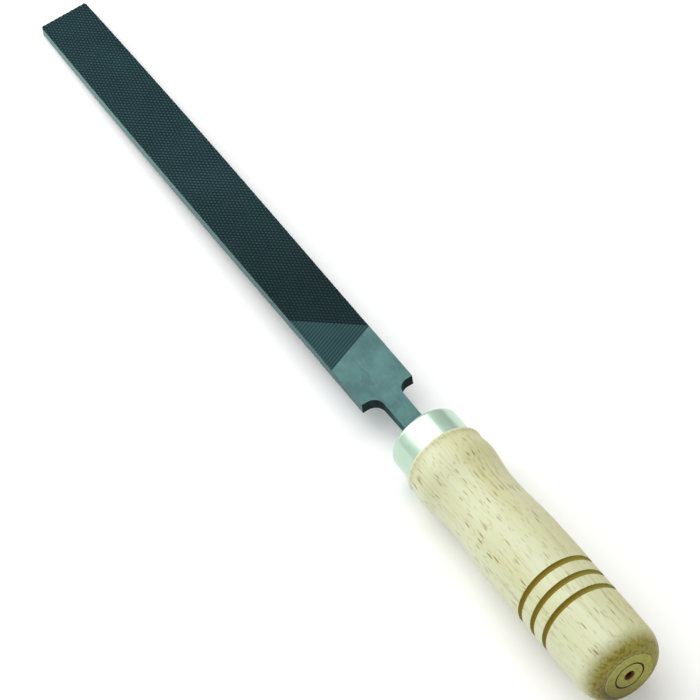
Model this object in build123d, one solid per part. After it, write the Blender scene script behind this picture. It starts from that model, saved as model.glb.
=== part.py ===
"""Flat hand file: a steel blade with its tang, set in a turned wooden handle with a metal ferrule.

The tool's axis is X, with the tip at +X and the handle at -X. Z is square to the two cutting faces.
The origin is the middle of the tool's overall box, on the axis. All sizes are in millimetres.
Distances named "from the shoulder" are counted from the blade's heel, where the tang begins.
"""

import os

from build123d import *

# Blade
blade_length = 200.0        # nominal size of the file, shoulder to tip
blade_width = 19.5
tip_width = 17.6
parallel_length = 90.0      # full width from the shoulder up to here, then a gentle taper to the tip
heel_thickness = 4.3
middle_thickness = 4.8      # both faces belly out slightly
tip_thickness = 3.7
heel_flat_length = 26.0     # flat as far as the first cut
belly_middle = 105.0        # from the shoulder

# Tang, one piece with the blade
tang_length = 60.0
neck_width = 7.4
neck_fillet = 4.0           # hollow corner between shoulder and tang
neck_length = 22.0          # up to here the tang keeps nearly its full width
neck_end_width = 7.2
neck_end_thickness = 3.3
tang_end_width = 3.6
tang_end_thickness = 2.2

# Ferrule: a drawn cap, its front turned in over the end of the wood
ferrule_front = 21.1        # from the shoulder
ferrule_length = 11.4
ferrule_radius = 12.5
ferrule_wall = 0.8
ferrule_corner = 1.6
ferrule_mouth_radius = 6.0

# Handle, turned from one piece of wood
handle_end = 137.0          # butt face, from the shoulder
wood_shoulder_radius = 12.7
butt_radius = 14.5
butt_round_length = 8.5     # from the butt face to where the rounding starts
butt_round_end_radius = 9.3
end_disc_radius = 8.9       # flat disc that stands a hair proud of the rounding
end_disc_height = 0.3
socket_clearance = 0.05
socket_end_gap = 1.5

# Three turned grooves and the marks that the lathe centre leaves in the butt
groove_positions = (97.5, 104.2, 110.9)
groove_radius = 1.1
groove_depth = 1.0
barrel_radius_at_grooves = 14.4
groove_centre_radius = barrel_radius_at_grooves - groove_depth + groove_radius
centre_ring_radius = 5.2
centre_ring_width = 0.7
centre_ring_depth = 0.5
centre_hole_radius = 1.3
centre_hole_depth = 6.0
centre_cone_radius = 2.1
centre_cone_depth = 0.8

# The blade's shoulder in the tool's frame, with the origin at mid length.
shoulder_x = (handle_end - blade_length) / 2

reach = 40.0                # longer than any section, for solids that are cut to shape


def in_tool_frame(shape):
    """Move a shape from the shoulder's frame to the tool's frame."""
    return Pos(shoulder_x, 0, 0) * shape


def blade_plan():
    """Outline of the blade and tang seen square to the faces."""
    half = blade_width / 2
    half_tip = tip_width / 2
    half_neck = neck_width / 2
    with BuildSketch(Plane.XY) as plan:
        with BuildLine():
            Line((blade_length, 0), (blade_length, half_tip))
            TangentArc((parallel_length, half), (blade_length, half_tip), tangent=(1, 0))
            Polyline((parallel_length, half), (0, half), (0, half_neck + neck_fillet))
            RadiusArc((0, half_neck + neck_fillet), (-neck_fillet, half_neck), neck_fillet)
            Polyline(
                (-neck_fillet, half_neck),
                (-neck_length, neck_end_width / 2),
                (-tang_length, tang_end_width / 2),
                (-tang_length, 0),
            )
            mirror(about=Plane.XZ)
        make_face()
    return plan.sketch


def blade_side():
    """Outline of the blade and tang seen from the edge."""
    half_heel = heel_thickness / 2
    half_tip = tip_thickness / 2
    with BuildSketch(Plane.XZ) as side:
        with BuildLine():
            Line((blade_length, 0), (blade_length, half_tip))
            ThreePointArc(
                (blade_length, half_tip),
                (belly_middle, middle_thickness / 2),
                (heel_flat_length, half_heel),
            )
            Polyline(
                (heel_flat_length, half_heel),
                (0, half_heel),
                (-neck_length, neck_end_thickness / 2),
                (-tang_length, tang_end_thickness / 2),
                (-tang_length, 0),
            )
            mirror(about=Plane.XZ)
        make_face()
    return side.sketch


def file_blade():
    """Blade and tang, forged in one piece."""
    return extrude(blade_plan(), reach, both=True) & extrude(blade_side(), reach, both=True)


def tang_socket():
    """Tapered hole that the hot tang has burnt in the wood, a hair larger than the tang."""
    start = -ferrule_front
    end = -tang_length - socket_end_gap

    def half_at(position, neck_size, end_size):
        taper = (end_size - neck_size) / 2 / (tang_length - neck_length)
        return neck_size / 2 + taper * (-position - neck_length) + socket_clearance

    def outline(plane, neck_size, end_size):
        near = half_at(start, neck_size, end_size)
        far = half_at(end, neck_size, end_size)
        corners = [(start, near), (end, far), (end, -far), (start, -near)]
        return plane * make_face(Polyline(*corners, close=True))

    across = outline(Plane.XY, neck_end_width, tang_end_width)
    through = outline(Plane.XZ, neck_end_thickness, tang_end_thickness)
    return extrude(across, reach, both=True) & extrude(through, reach, both=True)


def ferrule():
    """Drawn metal cap: a straight tube whose front edge is rounded over and turned in."""
    back = -ferrule_front - ferrule_length
    front = -ferrule_front
    inner_radius = ferrule_radius - ferrule_wall
    inner_corner = ferrule_corner - ferrule_wall
    with BuildPart() as cap:
        with BuildSketch(Plane.XY):
            with BuildLine():
                Polyline(
                    (back, inner_radius),
                    (back, ferrule_radius),
                    (front - ferrule_corner, ferrule_radius),
                )
                RadiusArc(
                    (front - ferrule_corner, ferrule_radius),
                    (front, ferrule_radius - ferrule_corner),
                    ferrule_corner,
                )
                Polyline(
                    (front, ferrule_radius - ferrule_corner),
                    (front, ferrule_mouth_radius),
                    (front - ferrule_wall, ferrule_mouth_radius),
                    (front - ferrule_wall, inner_radius - inner_corner),
                )
                RadiusArc(
                    (front - ferrule_wall, inner_radius - inner_corner),
                    (front - ferrule_wall - inner_corner, inner_radius),
                    -inner_corner,
                )
                Line((front - ferrule_wall - inner_corner, inner_radius), (back, inner_radius))
            make_face()
        revolve(axis=Axis.X)
    return cap.part


def centre_hole_outline():
    """Half section of the hole that the lathe's centre leaves in the butt, with its cone at the mouth."""
    bottom = -handle_end + centre_hole_depth
    cone_end = -handle_end + centre_cone_depth
    corners = [
        (-handle_end, 0),
        (-handle_end, centre_cone_radius),
        (cone_end, centre_hole_radius),
        (bottom, centre_hole_radius),
        (bottom, 0),
    ]
    return make_face(Polyline(*corners, close=True))


def turned_handle():
    """All that is turned on the lathe: spigot for the ferrule, waist, barrel, grooves and rounded butt."""
    spigot_front = -ferrule_front - ferrule_wall
    spigot_radius = ferrule_radius - ferrule_wall
    spigot_corner = ferrule_corner - ferrule_wall
    shoulder = -ferrule_front - ferrule_length
    waist_and_barrel = [
        (-34.2, 14.0),
        (-39.5, 14.3),
        (-47.0, 13.65),
        (-57.0, 13.05),
        (-69.0, 13.8),
        (-80.0, 14.3),
        (-104.0, barrel_radius_at_grooves),
        (-handle_end + butt_round_length, butt_radius),
    ]
    hole_outline = centre_hole_outline()
    with BuildPart() as wood:
        with BuildSketch(Plane.XY):
            with BuildLine():
                Polyline((-handle_end, 0), (spigot_front, 0), (spigot_front, spigot_radius - spigot_corner))
                RadiusArc(
                    (spigot_front, spigot_radius - spigot_corner),
                    (spigot_front - spigot_corner, spigot_radius),
                    -spigot_corner,
                )
                Polyline(
                    (spigot_front - spigot_corner, spigot_radius),
                    (shoulder, spigot_radius),
                    (shoulder, wood_shoulder_radius),
                )
                rounding = TangentArc((shoulder, wood_shoulder_radius), waist_and_barrel[0], tangent=(0, 1))
                Spline(*waist_and_barrel, tangents=[rounding % 1, (-1, 0)])
                EllipticalCenterArc(
                    (-handle_end + butt_round_length, butt_round_end_radius),
                    butt_round_length - end_disc_height,
                    butt_radius - butt_round_end_radius,
                    start_angle=90,
                    arc_size=90,
                )
                Polyline(
                    (-handle_end + end_disc_height, butt_round_end_radius),
                    (-handle_end + end_disc_height, end_disc_radius),
                    (-handle_end, end_disc_radius),
                    (-handle_end, 0),
                )
            make_face()
            with Locations(*[(-position, groove_centre_radius) for position in groove_positions]):
                Circle(groove_radius, mode=Mode.SUBTRACT)
            with Locations((-handle_end, centre_ring_radius)):
                Rectangle(2 * centre_ring_depth, centre_ring_width, mode=Mode.SUBTRACT)
            add(hole_outline, mode=Mode.SUBTRACT)
        revolve(axis=Axis.X)
    return wood.part


def handle():
    """Wooden handle with the tang's socket burnt in it."""
    return turned_handle() - tang_socket()


os.makedirs("parts", exist_ok=True)
pieces = {"file_blade": file_blade(), "ferrule": ferrule(), "handle": handle()}
for name, shape in pieces.items():
    export_step(in_tool_frame(shape), f"parts/{name}.step")
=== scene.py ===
"""Flat hand file with a wooden handle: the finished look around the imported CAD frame."""

import math

import bmesh
import bpy
from mathutils import Matrix, Vector


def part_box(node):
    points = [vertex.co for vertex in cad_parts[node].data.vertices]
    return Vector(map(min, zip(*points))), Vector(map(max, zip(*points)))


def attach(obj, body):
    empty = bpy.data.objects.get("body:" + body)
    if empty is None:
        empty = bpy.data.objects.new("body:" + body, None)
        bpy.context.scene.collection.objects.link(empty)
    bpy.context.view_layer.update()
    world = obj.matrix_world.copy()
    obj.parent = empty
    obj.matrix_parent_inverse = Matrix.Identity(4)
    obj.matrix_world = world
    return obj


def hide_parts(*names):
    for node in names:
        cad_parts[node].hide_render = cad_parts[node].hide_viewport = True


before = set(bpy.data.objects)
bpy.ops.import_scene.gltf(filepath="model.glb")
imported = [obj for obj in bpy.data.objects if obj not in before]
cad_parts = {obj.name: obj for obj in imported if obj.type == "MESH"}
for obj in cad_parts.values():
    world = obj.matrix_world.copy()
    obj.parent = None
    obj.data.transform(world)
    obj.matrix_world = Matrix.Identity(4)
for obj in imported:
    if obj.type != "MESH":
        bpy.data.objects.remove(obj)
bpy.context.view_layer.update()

MM = 0.001

# ---- Sizes, in millimetres. Along the blade, s runs from the shoulder (0) to the tip. ----

BLADE_LENGTH = 200.0
BLADE_WIDTH = 19.5
TIP_WIDTH = 17.6
PARALLEL_LENGTH = 90.0
HEEL_FLAT = 26.0
BELLY_MIDDLE = 105.0
HEEL_THICKNESS = 4.3
MIDDLE_THICKNESS = 4.8
TIP_THICKNESS = 3.7
TIP_CORNER = 0.8

NECK_WIDTH = 7.4
NECK_FILLET = 4.0
NECK_LENGTH = 22.0
NECK_END_WIDTH = 7.2
NECK_END_THICKNESS = 3.3
TANG_LENGTH = 60.0
TANG_END_WIDTH = 3.6
TANG_END_THICKNESS = 2.2
FILLET_STEPS = 14
NEAR = 1e-3                  # vertices closer than this to a border lie on it

# The two sets of cuts. An angle is that of the cut's normal from the blade's length, in the face's plane.
UPCUT_PITCH = 1.1
UPCUT_ANGLE = math.radians(21.5)
UPCUT_START = 21.5           # s where the first cut crosses the middle of the face
UPCUT_DEPTH = 0.24
UPCUT_COUNT = 190            # enough to pass the tip at both edges
OVERCUT_PITCH = 1.15
OVERCUT_ANGLE = math.radians(-41.5)
OVERCUT_START = 34.5
OVERCUT_DEPTH = 0.34
OVERCUT_COUNT = 150
SINGLE_CUT_ROWS = 26         # lattice rows before the first overcut, where there are only upcuts
# One tooth, from crest to crest: (share of the pitch, height), with the steep side facing the tip.
TOOTH = ((0.0, 1.0), (0.18, 0.0), (0.32, 0.05), (0.68, 0.6))
EDGE_CUT_START = 27.0        # the far edge has one set of cuts
EDGE_CUT_PITCH = 1.1
EDGE_CUT_ANGLE = math.radians(25.0)
EDGE_CUT_DEPTH = 0.2
EDGE_BAND = 1.5              # half the height of the far edge's cut band

# Places on the handle, as distances from the shoulder towards the butt.
GROOVE_ZONE = (96.0, 112.4)
GROOVE_SURFACE = 14.3        # radius just under the barrel's surface between the grooves
HANDLE_END = 137.0
END_DISC_RADIUS = 8.9

# The swell behind the ferrule, on which the file lies.
SWELL_X = -71.0
SWELL_STEP = 0.2             # how much smaller its radius is than the handle's largest
FLOOR_RADIUS = 1.2
FLOOR_GAP = 0.00005

# The studio's surroundings are brightest this way, and this bright at their dimmest and brightest.
SKY_BRIGHT = (0.55, 0.35, 0.76)
SKY_RANGE = (0.32, 1.05)

# Camera, from the tool's frame: degrees and millimetres.
CAMERA_AZIMUTH = 154.17
CAMERA_ELEVATION = 52.39
CAMERA_ROLL = 9.29
CAMERA_DISTANCE = 2103.6
CAMERA_AIM = (-9.15, -0.13, 0.04)
CAMERA_LENS = 334.3

tip_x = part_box("file_blade")[1].x / MM
shoulder_x = tip_x - BLADE_LENGTH


# ---- Blade mesh ----

# The blade's finishes, as places in its list of materials; the third is painted shade on the notch walls and
# the tang.
PLAIN, CUT, WALL_SHADE = range(3)

SHARP_ANGLE = math.radians(12)


def half_width(s):
    """Half the blade's width at s: parallel, then a gentle taper to the tip."""
    past = max(0.0, s - PARALLEL_LENGTH) / (BLADE_LENGTH - PARALLEL_LENGTH)
    return (BLADE_WIDTH - (BLADE_WIDTH - TIP_WIDTH) * past * past) / 2


def half_thickness(s):
    """Half the blade's thickness at s: a flat heel, then a slight belly."""
    if s <= HEEL_FLAT:
        return HEEL_THICKNESS / 2
    if s < BELLY_MIDDLE:
        low, run = HEEL_THICKNESS, BELLY_MIDDLE - HEEL_FLAT
    else:
        low, run = TIP_THICKNESS, BLADE_LENGTH - BELLY_MIDDLE
    away = (s - BELLY_MIDDLE) / run
    return (MIDDLE_THICKNESS - (MIDDLE_THICKNESS - low) * away * away) / 2


def tooth_steps(plain, cuts):
    """Lattice steps across one set of cuts, as (phase, height): first some plain rows, then the teeth."""
    steps = [(float(row), 1.0) for row in range(-plain, 0)]
    for cut in range(cuts):
        steps.extend((cut + share, height) for share, height in TOOTH)
    steps.append((float(cuts), 1.0))
    return steps


def lattice_point(up_phase, over_phase):
    """(s, y) where the two cuts at these phases cross."""
    up_normal = Vector((math.cos(UPCUT_ANGLE), math.sin(UPCUT_ANGLE)))
    over_normal = Vector((math.cos(OVERCUT_ANGLE), math.sin(OVERCUT_ANGLE)))
    up = UPCUT_START * up_normal.x + up_phase * UPCUT_PITCH
    over = OVERCUT_START * over_normal.x + over_phase * OVERCUT_PITCH
    det = up_normal.x * over_normal.y - up_normal.y * over_normal.x
    s = (up * over_normal.y - over * up_normal.y) / det
    y = (over * up_normal.x - up * over_normal.x) / det
    return s, y


def cut_face():
    """Bmesh of the toothed part of one face, in a straight strip, with z as height above the surface."""
    bm = bmesh.new()
    up_layer = bm.verts.layers.float.new("up_phase")
    over_layer = bm.verts.layers.float.new("over_phase")
    half = BLADE_WIDTH / 2
    up_steps = tooth_steps(0, UPCUT_COUNT)
    over_steps = tooth_steps(SINGLE_CUT_ROWS, OVERCUT_COUNT)
    points = {}

    def vertex(i, j):
        if (i, j) not in points:
            up_phase, up_height = up_steps[i]
            over_phase, over_height = over_steps[j]
            s, y = lattice_point(up_phase, over_phase)
            drop = max(UPCUT_DEPTH * (1 - up_height), OVERCUT_DEPTH * (1 - over_height))
            vert = bm.verts.new((s, y, -drop))
            vert[up_layer] = up_phase
            vert[over_layer] = over_phase
            points[i, j] = vert
        return points[i, j]

    for i in range(len(up_steps) - 1):
        for j in range(len(over_steps) - 1):
            corners = [(i, j), (i + 1, j), (i + 1, j + 1), (i, j + 1)]
            places = [lattice_point(up_steps[a][0], over_steps[b][0]) for a, b in corners]
            across = [p[1] for p in places]
            along = [p[0] for p in places]
            if min(across) > half or max(across) < -half or min(along) > BLADE_LENGTH:
                continue
            bm.faces.new([vertex(a, b) for a, b in reversed(corners)])

    def trim(place, normal):
        whole = bm.verts[:] + bm.edges[:] + bm.faces[:]
        bmesh.ops.bisect_plane(
            bm, geom=whole, plane_co=place, plane_no=normal, clear_outer=True, dist=1e-4
        )

    trim((0, half, 0), (0, 1, 0))
    trim((0, -half, 0), (0, -1, 0))
    trim((BLADE_LENGTH, 0, 0), (1, 0, 0))
    return bm


class Solid:
    """Vertices and faces of one closed mesh, gathered before they are given to Blender."""

    def __init__(self):
        self.points = []
        self.phases = []
        self.faces = []
        self.finishes = []

    def add(self, s, y, z, phases=(0.0, -1.0)):
        """Add one vertex and return its index. Phases count the upcuts and overcuts up to there."""
        self.points.append((s, y, z))
        self.phases.append(phases)
        return len(self.points) - 1

    def face(self, corners, finish=PLAIN):
        """Add one face with one of the blade's finishes."""
        self.faces.append(tuple(corners))
        self.finishes.append(finish)

    def zip_up(self, upper, lower, key):
        """Join two rows of vertices with triangles, always moving on along the row that lags."""
        i = j = 0
        while i < len(upper) - 1 or j < len(lower) - 1:
            upper_next = key(self.points[upper[i + 1]]) if i < len(upper) - 1 else math.inf
            lower_next = key(self.points[lower[j + 1]]) if j < len(lower) - 1 else math.inf
            if upper_next <= lower_next:
                self.face((upper[i], upper[i + 1], lower[j]))
                i += 1
            else:
                self.face((upper[i], lower[j + 1], lower[j]))
                j += 1

    def loft(self, upper, lower, finish):
        """Join two rows that have the same number of vertices with quads."""
        for k in range(len(upper) - 1):
            self.face((upper[k], upper[k + 1], lower[k + 1], lower[k]), finish)


def add_cut_face(solid, pattern, side):
    """Add one toothed face. Side 1 is the upper face; -1 is the lower one, turned over about the axis."""
    half = BLADE_WIDTH / 2
    up_layer = pattern.verts.layers.float["up_phase"]
    over_layer = pattern.verts.layers.float["over_phase"]
    first_cut = UPCUT_START * math.cos(UPCUT_ANGLE)
    index = {}
    rows = {"safe": [], "far": [], "tip": [], "heel": []}
    for vert in pattern.verts:
        s, y, drop = vert.co
        across = side * y * half_width(s) / half
        height = side * (half_thickness(s) + drop)
        place = solid.add(s, across, height, (vert[up_layer], vert[over_layer]))
        index[vert.index] = place
        if not vert.is_boundary:
            continue
        if abs(abs(y) - half) < NEAR:
            rows["safe" if side * y > 0 else "far"].append(place)
        if abs(s - BLADE_LENGTH) < NEAR:
            rows["tip"].append(place)
        if abs(s * math.cos(UPCUT_ANGLE) + y * math.sin(UPCUT_ANGLE) - first_cut) < NEAR:
            rows["heel"].append(place)
    for face in pattern.faces:
        solid.face([index[vert.index] for vert in face.verts], CUT)
    rows["safe"].sort(key=lambda p: solid.points[p][0])
    rows["far"].sort(key=lambda p: solid.points[p][0])
    rows["tip"].sort(key=lambda p: -solid.points[p][1])
    rows["heel"].sort(key=lambda p: -solid.points[p][1])
    return rows


def tang_outline():
    """(s, half width, half thickness) from the shoulder's inner corner to the tang's end."""
    outline = []
    for k in range(FILLET_STEPS + 1):
        turn = math.pi / 2 * k / FILLET_STEPS
        s = -NECK_FILLET * (1 - math.cos(turn))
        outline.append((s, NECK_WIDTH / 2 + NECK_FILLET * (1 - math.sin(turn))))
    outline.append((-NECK_LENGTH, NECK_END_WIDTH / 2))
    outline.append((-TANG_LENGTH, TANG_END_WIDTH / 2))

    def thickness(s):
        if s > -NECK_LENGTH:
            return HEEL_THICKNESS + (NECK_END_THICKNESS - HEEL_THICKNESS) * -s / NECK_LENGTH
        share = (-s - NECK_LENGTH) / (TANG_LENGTH - NECK_LENGTH)
        return NECK_END_THICKNESS + (TANG_END_THICKNESS - NECK_END_THICKNESS) * share

    return [(s, half, thickness(s) / 2) for s, half in outline]


def add_heel_and_tang(solid, upper, lower):
    """Add the plain heel, the shoulders and the tang, joined to the rows of both toothed faces."""
    half = BLADE_WIDTH / 2
    outline = tang_outline()
    corners = {}
    for level in (1, -1):
        for across in (1, -1):
            corners[level, across] = solid.add(0.0, across * half, level * HEEL_THICKNESS / 2)
    tang = {
        (level, across): [solid.add(s, across * w, level * t) for s, w, t in outline]
        for level in (1, -1)
        for across in (1, -1)
    }
    for level, rows in ((1, upper), (-1, lower)):
        plus, minus = tang[level, 1], tang[level, -1]
        heel_face = rows["heel"] + [corners[level, -1], minus[0], plus[0], corners[level, 1]]
        solid.face(heel_face)
        neck_end = len(outline) - 2
        solid.face(plus[: neck_end + 1] + minus[neck_end::-1])
        solid.face((plus[neck_end], plus[-1], minus[-1], minus[neck_end]))
    for across in (1, -1):
        solid.loft(tang[1, across], tang[-1, across], WALL_SHADE)
    solid.face((tang[1, 1][-1], tang[1, -1][-1], tang[-1, -1][-1], tang[-1, 1][-1]), WALL_SHADE)
    return corners, tang


def add_edges(solid, upper, lower, corners, tang):
    """Add the plain safe edge, the single-cut far edge, the tip's end and the two shoulders."""
    along = lambda p: p[0]
    solid.zip_up([corners[1, 1]] + upper["safe"], [corners[-1, 1]] + lower["safe"], along)

    rows = {1: [], -1: []}
    for level in (1, -1):
        rows[level].append(solid.add(0.0, -BLADE_WIDTH / 2, level * EDGE_BAND))
    first, last = EDGE_CUT_START, BLADE_LENGTH - EDGE_CUT_PITCH
    for cut in range(int((last - first) / EDGE_CUT_PITCH)):
        for share, height in TOOTH:
            for level in (1, -1):
                s = first + (cut + share) * EDGE_CUT_PITCH + level * EDGE_BAND * math.tan(EDGE_CUT_ANGLE)
                y = -half_width(s) + EDGE_CUT_DEPTH * (1 - height)
                rows[level].append(solid.add(s, y, level * EDGE_BAND, (cut + share, -1.0)))
    for level in (1, -1):
        rows[level].append(solid.add(BLADE_LENGTH, -half_width(BLADE_LENGTH), level * EDGE_BAND))
    solid.loft(rows[1], rows[-1], CUT)
    solid.zip_up([corners[1, -1]] + upper["far"], rows[1], along)
    solid.zip_up([corners[-1, -1]] + lower["far"], rows[-1], along)

    across = lambda p: -p[1]
    solid.zip_up(upper["tip"] + [rows[1][-1]], lower["tip"] + [rows[-1][-1]], across)
    solid.face((corners[1, 1], tang[1, 1][0], tang[-1, 1][0], corners[-1, 1]), WALL_SHADE)
    upper_half = (corners[1, -1], tang[1, -1][0], tang[-1, -1][0])
    lower_half = (corners[-1, -1], rows[-1][0], rows[1][0])
    solid.face(upper_half + lower_half, WALL_SHADE)


def round_tip_corners(solid):
    """Pull the vertices beyond the tip's rounded corners back on to the rounding."""
    centre_s = BLADE_LENGTH - TIP_CORNER
    centre_y = half_width(BLADE_LENGTH) - TIP_CORNER
    for k, (s, y, z) in enumerate(solid.points):
        past_s, past_y = s - centre_s, abs(y) - centre_y
        reach = math.hypot(past_s, past_y)
        if past_s > 0 and past_y > 0 and reach > TIP_CORNER:
            pull = TIP_CORNER / reach
            y = math.copysign(centre_y + past_y * pull, y)
            solid.points[k] = (centre_s + past_s * pull, y, z)


def make_blade():
    """The whole blade with its tang, as one closed mesh."""
    pattern = cut_face()
    pattern.verts.index_update()
    solid = Solid()
    upper = add_cut_face(solid, pattern, 1)
    lower = add_cut_face(solid, pattern, -1)
    pattern.free()
    corners, tang = add_heel_and_tang(solid, upper, lower)
    add_edges(solid, upper, lower, corners, tang)
    round_tip_corners(solid)

    mesh = bpy.data.meshes.new("blade_with_teeth")
    places = [((s + shoulder_x) * MM, y * MM, z * MM) for s, y, z in solid.points]
    mesh.from_pydata(places, [], solid.faces)
    for k, name in enumerate(("up_phase", "over_phase")):
        attribute = mesh.attributes.new(name, "FLOAT", "POINT")
        attribute.data.foreach_set("value", [phases[k] for phases in solid.phases])
    mesh.polygons.foreach_set("material_index", solid.finishes)
    bm = bmesh.new()
    bm.from_mesh(mesh)
    bmesh.ops.recalc_face_normals(bm, faces=bm.faces[:])
    bm.to_mesh(mesh)
    bm.free()
    mesh.polygons.foreach_set("use_smooth", [True] * len(mesh.polygons))
    mesh.set_sharp_from_angle(angle=SHARP_ANGLE)
    blade = bpy.data.objects.new("blade_with_teeth", mesh)
    bpy.context.scene.collection.objects.link(blade)
    return blade


# ---- Materials ----

class Nodes:
    """A short way to write a material's node tree."""

    def __init__(self, name):
        self.material = bpy.data.materials.new(name)
        self.material.use_nodes = True
        self.tree = self.material.node_tree
        self.tree.nodes.clear()
        self.shader = self.tree.nodes.new("ShaderNodeBsdfPrincipled")
        output = self.tree.nodes.new("ShaderNodeOutputMaterial")
        self.tree.links.new(self.shader.outputs["BSDF"], output.inputs["Surface"])

    def plug(self, value, socket):
        """Set a socket to a number or colour, or link it to another node's output."""
        if isinstance(value, bpy.types.NodeSocket):
            self.tree.links.new(value, socket)
        else:
            socket.default_value = value

    def math(self, operation, a, b=0.0, clamp=False):
        """One math node."""
        node = self.tree.nodes.new("ShaderNodeMath")
        node.operation = operation
        node.use_clamp = clamp
        self.plug(a, node.inputs[0])
        self.plug(b, node.inputs[1])
        return node.outputs[0]

    def step(self, value, low, high):
        """0 below low, 1 above high and smooth between; low may be the larger, to turn it round."""
        node = self.tree.nodes.new("ShaderNodeMapRange")
        node.interpolation_type = "SMOOTHSTEP"
        flip = low > high
        self.plug(value, node.inputs["Value"])
        self.plug(min(low, high), node.inputs["From Min"])
        self.plug(max(low, high), node.inputs["From Max"])
        self.plug(1.0 if flip else 0.0, node.inputs["To Min"])
        self.plug(0.0 if flip else 1.0, node.inputs["To Max"])
        return node.outputs["Result"]

    def mix(self, share, first, second):
        """Colour between first and second."""
        node = self.tree.nodes.new("ShaderNodeMix")
        node.data_type = "RGBA"
        self.plug(share, node.inputs["Factor"])
        self.plug(first, node.inputs["A"])
        self.plug(second, node.inputs["B"])
        return node.outputs["Result"]

    def place(self, scale, shift=(0, 0, 0)):
        """Object coordinates, stretched."""
        coordinates = self.tree.nodes.new("ShaderNodeTexCoord")
        mapping = self.tree.nodes.new("ShaderNodeMapping")
        mapping.inputs["Scale"].default_value = scale
        mapping.inputs["Location"].default_value = shift
        self.tree.links.new(coordinates.outputs["Object"], mapping.inputs["Vector"])
        return mapping.outputs["Vector"]

    def noise(self, vector, scale, detail=3.0, roughness=0.55):
        """One noise value, about 0 to 1."""
        node = self.tree.nodes.new("ShaderNodeTexNoise")
        node.inputs["Scale"].default_value = scale
        node.inputs["Detail"].default_value = detail
        node.inputs["Roughness"].default_value = roughness
        self.tree.links.new(vector, node.inputs["Vector"])
        return node.outputs["Fac"]

    def cells(self, vector, scale):
        """Distance to the nearest cell centre, and that cell's random number."""
        node = self.tree.nodes.new("ShaderNodeTexVoronoi")
        node.inputs["Scale"].default_value = scale
        self.tree.links.new(vector, node.inputs["Vector"])
        separate = self.tree.nodes.new("ShaderNodeSeparateColor")
        self.tree.links.new(node.outputs["Color"], separate.inputs["Color"])
        return node.outputs["Distance"], separate.outputs["Red"]

    def pores(self, cells_per_metre, stretch, spread, kept, shift):
        """Short streaks along X: 1 in a pore, 0 outside. Spread is a pore's radius as a share of its cell."""
        scale = (cells_per_metre * stretch, cells_per_metre, cells_per_metre)
        distance, number = self.cells(self.place(scale, (shift, 0, 0)), 1.0)
        streak = self.step(distance, spread, spread * 0.35)
        return self.math("MULTIPLY", streak, self.step(number, kept, kept + 0.1))

    def attribute(self, name):
        """A named mesh attribute."""
        node = self.tree.nodes.new("ShaderNodeAttribute")
        node.attribute_name = name
        return node.outputs["Fac"]

    def position(self):
        """X, Y and Z in metres, in the tool's frame."""
        coordinates = self.tree.nodes.new("ShaderNodeTexCoord")
        separate = self.tree.nodes.new("ShaderNodeSeparateXYZ")
        self.tree.links.new(coordinates.outputs["Object"], separate.inputs[0])
        return separate.outputs

    def facing(self):
        """The surface's own direction, as X, Y and Z."""
        coordinates = self.tree.nodes.new("ShaderNodeTexCoord")
        separate = self.tree.nodes.new("ShaderNodeSeparateXYZ")
        self.tree.links.new(coordinates.outputs["Normal"], separate.inputs[0])
        return separate.outputs

    def bump(self, height, distance, strength=1.0):
        """Small relief on the shader's normal."""
        node = self.tree.nodes.new("ShaderNodeBump")
        node.inputs["Distance"].default_value = distance
        node.inputs["Strength"].default_value = strength
        self.tree.links.new(height, node.inputs["Height"])
        self.tree.links.new(node.outputs["Normal"], self.shader.inputs["Normal"])

    def set(self, **values):
        """Set the shader's sockets; an underscore stands for a space."""
        for name, value in values.items():
            self.plug(value, self.shader.inputs[name.replace("_", " ")])


def plain_steel():
    """Hardened steel without teeth: grey-green and dull, with faint clouds, stains and grinding marks, and
    painted shade and reflection on the safe edge.
    """
    n = Nodes("plain_file_steel")
    cloud = n.noise(n.place((1, 1, 1)), 110.0, 5.0, 0.6)
    stain = n.noise(n.place((60, 160, 60), (0.5, 0.1, 0)), 1.0, 4.0, 0.65)
    scratches = n.noise(n.place((260, 3200, 260)), 1.0, 2.0)

    colour = n.mix(n.step(cloud, 0.3, 0.72), (0.039, 0.116, 0.116, 1), (0.078, 0.196, 0.186, 1))
    colour = n.mix(n.math("MULTIPLY", n.step(stain, 0.52, 0.68), 0.6), colour, (0.030, 0.082, 0.088, 1))
    colour = n.mix(n.math("MULTIPLY", n.step(scratches, 0.45, 0.75), 0.22), colour, (0.125, 0.26, 0.24, 1))
    # Painted shade and reflection: the safe edge is painted dark, and brighter towards the tip as if it
    # reflected the bright surroundings.
    tip_reflection = n.step(n.position()[0], (shoulder_x + HEEL_FLAT) * MM, (shoulder_x + BLADE_LENGTH) * MM)
    on_edge = n.step(n.facing()[1], 0.5, 0.9)
    colour = n.mix(n.math("MULTIPLY", on_edge, 0.5), colour, (0.022, 0.078, 0.080, 1))
    colour = n.mix(n.math("MULTIPLY", tip_reflection, 0.62), colour, (0.150, 0.285, 0.260, 1))

    n.set(
        Base_Color=colour,
        Metallic=0.1,
        Roughness=n.math("ADD", 0.4, n.math("MULTIPLY", cloud, 0.25)),
        Specular_IOR_Level=0.35,
    )
    relief = n.math("ADD", scratches, n.math("MULTIPLY", cloud, 1.5))
    n.bump(relief, 0.00001, 0.6)
    return n.material


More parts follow.
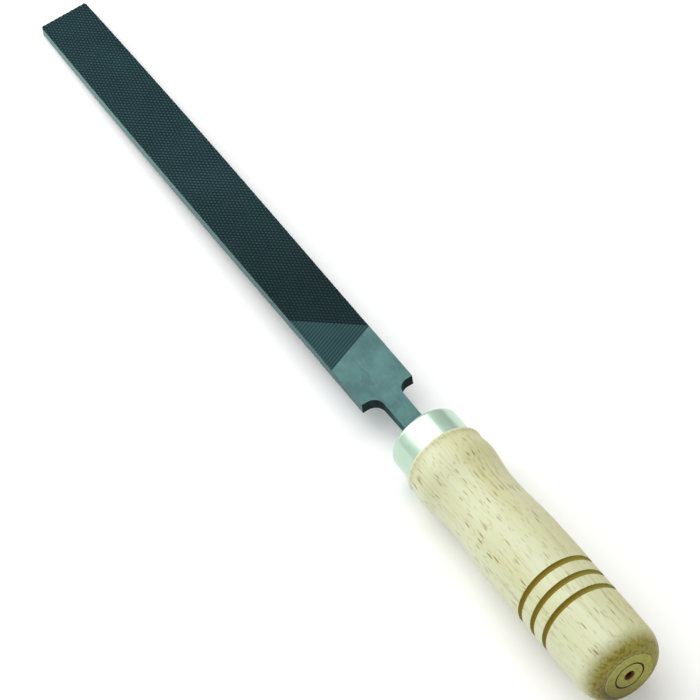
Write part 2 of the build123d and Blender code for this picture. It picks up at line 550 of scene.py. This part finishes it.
def painted_wall_shade():
    """Painted shade: near-black steel on the walls of the notches and on the sides of the tang, where shade
    falls.
    """
    n = Nodes("painted_wall_shade")
    cloud = n.noise(n.place((1, 1, 1)), 400.0, 4.0)
    colour = n.mix(n.step(cloud, 0.35, 0.75), (0.008, 0.016, 0.018, 1), (0.018, 0.040, 0.042, 1))
    # The painted shade is deepest in the hollow corners of the notches and lighter along the tang.
    along_tang = n.step(n.position()[0], (shoulder_x - NECK_FILLET) * MM, (shoulder_x - 3 * NECK_FILLET) * MM)
    colour = n.mix(n.math("MULTIPLY", along_tang, 0.75), colour, (0.036, 0.095, 0.100, 1))
    n.set(
        Base_Color=colour,
        Roughness=n.math("ADD", 0.6, n.math("MULTIPLY", cloud, 0.25)),
        Specular_IOR_Level=0.08,
    )
    n.bump(cloud, 0.00002, 0.6)
    return n.material


def cut_steel():
    """Hardened steel with teeth: painted shade between them, dull teal flanks, and a painted highlight,
    partly wear, on the ridge behind each point.
    """
    n = Nodes("cut_file_steel")
    up = n.math("FRACT", n.attribute("up_phase"))
    over_count = n.attribute("over_phase")
    over = n.math("FRACT", over_count)
    double_cut = n.step(over_count, -0.2, 0.0)
    drift = n.noise(n.place((1, 1, 1), (0.3, 0, 0)), 60.0, 4.0)
    grain = n.noise(n.place((1, 1, 1)), 1800.0, 2.0)

    flank = n.mix(n.step(drift, 0.3, 0.7), (0.0120, 0.0350, 0.0400, 1), (0.0165, 0.0450, 0.0510, 1))
    single = n.mix(n.step(drift, 0.3, 0.7), (0.0200, 0.0560, 0.0620, 1), (0.0280, 0.0700, 0.0760, 1))
    colour = n.mix(double_cut, single, flank)

    # Painted highlight, partly wear: paler steel on the ridge that runs back from each tooth's point, and on
    # the single cut's crests.
    apart = n.math("ABSOLUTE", n.math("SUBTRACT", up, over))
    ridge = n.math("MULTIPLY", n.step(apart, 0.34, 0.10), n.step(over, 0.25, 0.75))
    ridge_highlight_and_wear = n.math("MULTIPLY", n.math("MULTIPLY", ridge, double_cut), n.step(grain, 0.2, 0.6))
    colour = n.mix(n.math("MULTIPLY", ridge_highlight_and_wear, 0.45), colour, (0.070, 0.165, 0.175, 1))
    crest_highlight_and_wear = n.math("MULTIPLY", n.step(up, 0.6, 1.0), n.step(double_cut, 1.0, 0.0))
    colour = n.mix(n.math("MULTIPLY", crest_highlight_and_wear, 0.5), colour, (0.075, 0.160, 0.165, 1))

    # Painted shade in the cuts' floors, the overcut's most of all.
    up_floor_shade = n.math("MULTIPLY", n.step(up, 0.04, 0.16), n.step(up, 0.55, 0.30))
    over_floor_shade = n.math("MULTIPLY", n.step(over, 0.04, 0.16), n.step(over, 0.60, 0.30))
    over_floor_shade = n.math("MULTIPLY", over_floor_shade, double_cut)
    colour = n.mix(n.math("MULTIPLY", up_floor_shade, 0.3), colour, (0.0015, 0.0035, 0.0045, 1))
    colour = n.mix(n.math("MULTIPLY", over_floor_shade, 0.62), colour, (0.0015, 0.0035, 0.0045, 1))
    # Painted shade: the double cut is darkest towards the heel.
    towards_heel = n.step(n.position()[0], (shoulder_x + 120) * MM, (shoulder_x + 35) * MM)
    heel_shade = n.math("MULTIPLY", n.math("MULTIPLY", towards_heel, double_cut), 0.5)
    colour = n.mix(heel_shade, colour, (0.0030, 0.0065, 0.0080, 1))

    n.set(
        Base_Color=colour,
        Roughness=n.math("ADD", 0.42, n.math("MULTIPLY", grain, 0.2)),
        Specular_IOR_Level=0.04,
    )
    n.bump(grain, 0.00001, 0.5)
    return n.material


def ferrule_metal():
    """Bright plated metal with a faint green cast, softly polished, with fine marks round it."""
    n = Nodes("plated_ferrule")
    rings = n.noise(n.place((2200, 60, 60)), 1.0, 2.0)
    haze = n.noise(n.place((1, 1, 1)), 160.0, 4.0)
    n.set(
        Base_Color=n.mix(haze, (0.44, 0.61, 0.48, 1), (0.54, 0.70, 0.57, 1)),
        Metallic=1.0,
        Roughness=n.math("ADD", 0.18, n.math("MULTIPLY", haze, 0.14)),
    )
    n.bump(rings, 0.000012, 0.5)
    return n.material


def handle_wood():
    """Pale turned hardwood under satin varnish: brown pores, end grain darker in itself and by painted shade,
    and painted shade on one side, in the grooves and in the lathe-centre marks.
    """
    n = Nodes("varnished_pale_wood")
    x, y, z = n.position()
    radius = n.math("SQRT", n.math("ADD", n.math("MULTIPLY", y, y), n.math("MULTIPLY", z, z)))
    face_x = n.facing()[0]

    # Broad figure, stretched along the grain, then fine fibre; the −Y side of the stick is painted yellower
    # and darker as shade.
    figure = n.noise(n.place((9, 120, 120)), 1.0, 3.0, 0.6)
    fibre = n.noise(n.place((45, 1300, 1300)), 1.0, 3.0, 0.65)
    drifts = n.step(n.noise(n.place((16, 95, 95), (0.7, 0.2, 0.4)), 1.0, 2.0), 0.40, 0.62)
    minus_y_shading = n.step(y, 4 * MM, -13 * MM)
    yellow_figure = n.math("MULTIPLY", n.step(figure, 0.35, 0.75), 0.6)
    yellow = n.math("ADD", yellow_figure, n.math("MULTIPLY", minus_y_shading, 0.6))
    pale = n.mix(n.math("MINIMUM", yellow, 1.0), (0.590, 0.625, 0.430, 1), (0.505, 0.490, 0.235, 1))
    line_share = n.math("ADD", 0.16, n.math("MULTIPLY", drifts, 0.5))
    lines = n.math("MULTIPLY", n.step(fibre, 0.52, 0.72), line_share)
    pale = n.mix(lines, pale, (0.34, 0.27, 0.07, 1))

    # Pores: thin streaks gathered in drifts, over a scatter of finer ones, and a few larger dark flecks.
    streak_share = n.math("ADD", n.math("MULTIPLY", drifts, 0.75), 0.2)
    streaks = n.math("MULTIPLY", n.pores(1000, 0.12, 0.30, 0.40, 0.0), streak_share)
    fine = n.math("MULTIPLY", n.pores(1900, 0.10, 0.30, 0.30, 0.37), 0.5)
    fleck_share = n.math("ADD", n.math("MULTIPLY", drifts, 0.8), 0.1)
    flecks = n.math("MULTIPLY", n.pores(520, 0.14, 0.24, 0.55, 0.71), fleck_share)
    wood = n.mix(n.math("MAXIMUM", streaks, fine), pale, (0.21, 0.125, 0.016, 1))
    wood = n.mix(flecks, wood, (0.13, 0.060, 0.006, 1))
    marks = n.math("MAXIMUM", n.math("MAXIMUM", streaks, fine), flecks)

    # End grain soaks up more varnish, and it is also painted as shade: the darkening grows as the surface
    # turns towards −X.
    end = n.step(n.math("MULTIPLY", face_x, -1.0), 0.04, 0.72)
    end_spots = n.step(n.noise(n.place((500, 1000, 1000)), 1.0, 3.0), 0.42, 0.68)
    end_colour = n.mix(end_spots, (0.30, 0.27, 0.040, 1), (0.17, 0.125, 0.008, 1))
    # Painted shade: darker on the butt's low side, most of all on the rounding round the disc that the butt
    # ends in.
    height = n.math("SUBTRACT", n.math("MULTIPLY", z, 0.75), n.math("MULTIPLY", y, 0.65))
    low_side_shade = n.step(height, 3 * MM, -11 * MM)
    shade_by_the_disc = n.math("MULTIPLY", n.step(radius, 13.2 * MM, 9.6 * MM), low_side_shade)
    end_colour = n.mix(n.math("MULTIPLY", shade_by_the_disc, 0.85), end_colour, (0.065, 0.045, 0.002, 1))
    # The flat disc is painted lighter than the rounding round it, as lit, and darker on its low side as
    # painted shade.
    disc = n.mix(end_spots, (0.36, 0.36, 0.050, 1), (0.28, 0.24, 0.015, 1))
    on_disc = n.step(radius, (END_DISC_RADIUS + 0.15) * MM, (END_DISC_RADIUS - 0.05) * MM)
    disc = n.mix(n.math("MULTIPLY", low_side_shade, 0.85), disc, (0.10, 0.075, 0.003, 1))
    end_colour = n.mix(on_disc, end_colour, disc)
    wood = n.mix(n.math("MULTIPLY", end, 0.98), wood, end_colour)

    # Painted shade in the grooves: everything below the barrel's surface between the first and the last
    # groove is painted brown, lighter on the −Y side.
    low = (shoulder_x - GROOVE_ZONE[1]) * MM
    high = (shoulder_x - GROOVE_ZONE[0]) * MM
    near_grooves = n.math("MULTIPLY", n.step(x, low - MM, low), n.step(x, high + MM, high))
    depth = n.step(radius, GROOVE_SURFACE * MM, (GROOVE_SURFACE - 0.45) * MM)
    groove_shade = n.math("MULTIPLY", near_grooves, depth)
    groove_shade_colour = n.mix(fibre, (0.165, 0.105, 0.003, 1), (0.28, 0.215, 0.012, 1))
    groove_shade_colour = n.mix(n.math("MULTIPLY", minus_y_shading, 0.75), groove_shade_colour, (0.37, 0.33, 0.06, 1))
    wood = n.mix(groove_shade, wood, groove_shade_colour)

    # Painted shade in the marks that the lathe's centre left in the butt and in the hole: everything sunk
    # more than a little into the end face near the middle is painted dark red-brown.
    inside = n.step(x, (shoulder_x - HANDLE_END + 0.05) * MM, (shoulder_x - HANDLE_END + 0.3) * MM)
    butt = n.step(x, (shoulder_x - HANDLE_END + 9.0) * MM, (shoulder_x - HANDLE_END + 8.0) * MM)
    recess_shade = n.math("MULTIPLY", inside, n.math("MULTIPLY", butt, n.step(radius, 6.2 * MM, 5.9 * MM)))
    wood = n.mix(recess_shade, wood, (0.085, 0.014, 0.001, 1))

    n.set(
        Base_Color=wood,
        Roughness=n.math("ADD", 0.4, n.math("MULTIPLY", n.math("MAXIMUM", marks, groove_shade), 0.3)),
        Specular_IOR_Level=0.2,
        Coat_Weight=0.06,
        Coat_Roughness=0.25,
    )
    relief = n.math("SUBTRACT", n.math("MULTIPLY", fibre, 0.25), marks)
    n.bump(relief, 0.00006, 0.7)
    return n.material


# ---- Stage, light and camera ----

def studio_floor():
    """Pale floor that the file lies on: it touches the handle's front swell and the tip's lower edge."""
    swell_x, swell_radius = SWELL_X * MM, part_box("handle")[1].z - SWELL_STEP * MM
    tip_z = -TIP_THICKNESS / 2 * MM
    slope = (tip_z + swell_radius) / (tip_x * MM - swell_x)
    mesh = bpy.data.meshes.new("studio_floor")
    bm = bmesh.new()
    bmesh.ops.create_circle(bm, cap_ends=True, segments=96, radius=FLOOR_RADIUS)
    bm.to_mesh(mesh)
    bm.free()
    floor = bpy.data.objects.new("studio_floor", mesh)
    floor.rotation_euler = (0, -math.atan(slope), 0)
    floor.location = (0, 0, -swell_radius - swell_x * slope - FLOOR_GAP)
    bpy.context.scene.collection.objects.link(floor)
    n = Nodes("studio_floor")
    n.set(Base_Color=(0.95, 0.95, 0.95, 1), Roughness=0.9, Specular_IOR_Level=0.1)
    mesh.materials.append(n.material)


def softbox(name, place, width, depth, power, colour=(1, 1, 1)):
    """A rectangular area light at place that faces the tool."""
    data = bpy.data.lights.new(name, "AREA")
    data.shape = "RECTANGLE"
    data.size, data.size_y = width, depth
    data.energy = power
    data.color = colour
    light = bpy.data.objects.new(name, data)
    light.location = place
    light.rotation_euler = (-Vector(place)).to_track_quat("-Z", "Y").to_euler()
    bpy.context.scene.collection.objects.link(light)


def studio_light():
    """White surroundings that darken away from SKY_BRIGHT, and two large soft lights from the tip's end."""
    world = bpy.data.worlds.new("studio")
    world.use_nodes = True
    tree = world.node_tree
    coordinates = tree.nodes.new("ShaderNodeTexCoord")
    towards = tree.nodes.new("ShaderNodeVectorMath")
    towards.operation = "DOT_PRODUCT"
    towards.inputs[1].default_value = SKY_BRIGHT
    strength = tree.nodes.new("ShaderNodeMapRange")
    strength.inputs["From Min"].default_value = -0.6
    strength.inputs["To Min"].default_value = SKY_RANGE[0]
    strength.inputs["To Max"].default_value = SKY_RANGE[1]
    background = tree.nodes["Background"]
    background.inputs["Color"].default_value = (1, 1, 1, 1)
    tree.links.new(coordinates.outputs["Generated"], towards.inputs[0])
    tree.links.new(towards.outputs["Value"], strength.inputs["Value"])
    tree.links.new(strength.outputs["Result"], background.inputs["Strength"])
    bpy.context.scene.world = world
    softbox("overhead", (0.40, -0.02, 1.2), 1.2, 0.9, 7.0)
    softbox("tip_side", (1.0, 0.6, 0.7), 0.8, 0.8, 5.0)


def photo_camera():
    """Camera above the handle's end, looking along the file, rolled a little."""
    azimuth, elevation = math.radians(CAMERA_AZIMUTH), math.radians(CAMERA_ELEVATION)
    back = Vector((
        math.cos(azimuth) * math.cos(elevation),
        math.sin(azimuth) * math.cos(elevation),
        math.sin(elevation),
    ))
    level_right = Vector((0, 0, 1)).cross(back).normalized()
    level_up = back.cross(level_right)
    roll = math.radians(CAMERA_ROLL)
    up = level_up * math.cos(roll) + level_right * math.sin(roll)
    right = up.cross(back)
    data = bpy.data.cameras.new("camera")
    data.sensor_width = 36.0
    data.lens = CAMERA_LENS
    data.clip_start, data.clip_end = 0.1, 20.0
    camera = bpy.data.objects.new("camera", data)
    turn = Matrix((right, up, back)).transposed().to_4x4()
    camera.matrix_world = Matrix.Translation(Vector(CAMERA_AIM) * MM + back * CAMERA_DISTANCE * MM) @ turn
    bpy.context.scene.collection.objects.link(camera)
    bpy.context.scene.camera = camera


blade = make_blade()
for finish in (plain_steel(), cut_steel(), painted_wall_shade()):
    blade.data.materials.append(finish)
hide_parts("file_blade")
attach(blade, "blade_body")
for node, finish in (("ferrule", ferrule_metal()), ("handle", handle_wood())):
    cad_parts[node].data.materials.clear()
    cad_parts[node].data.materials.append(finish)

studio_floor()
studio_light()
photo_camera()
bpy.context.scene.view_settings.view_transform = "Standard"
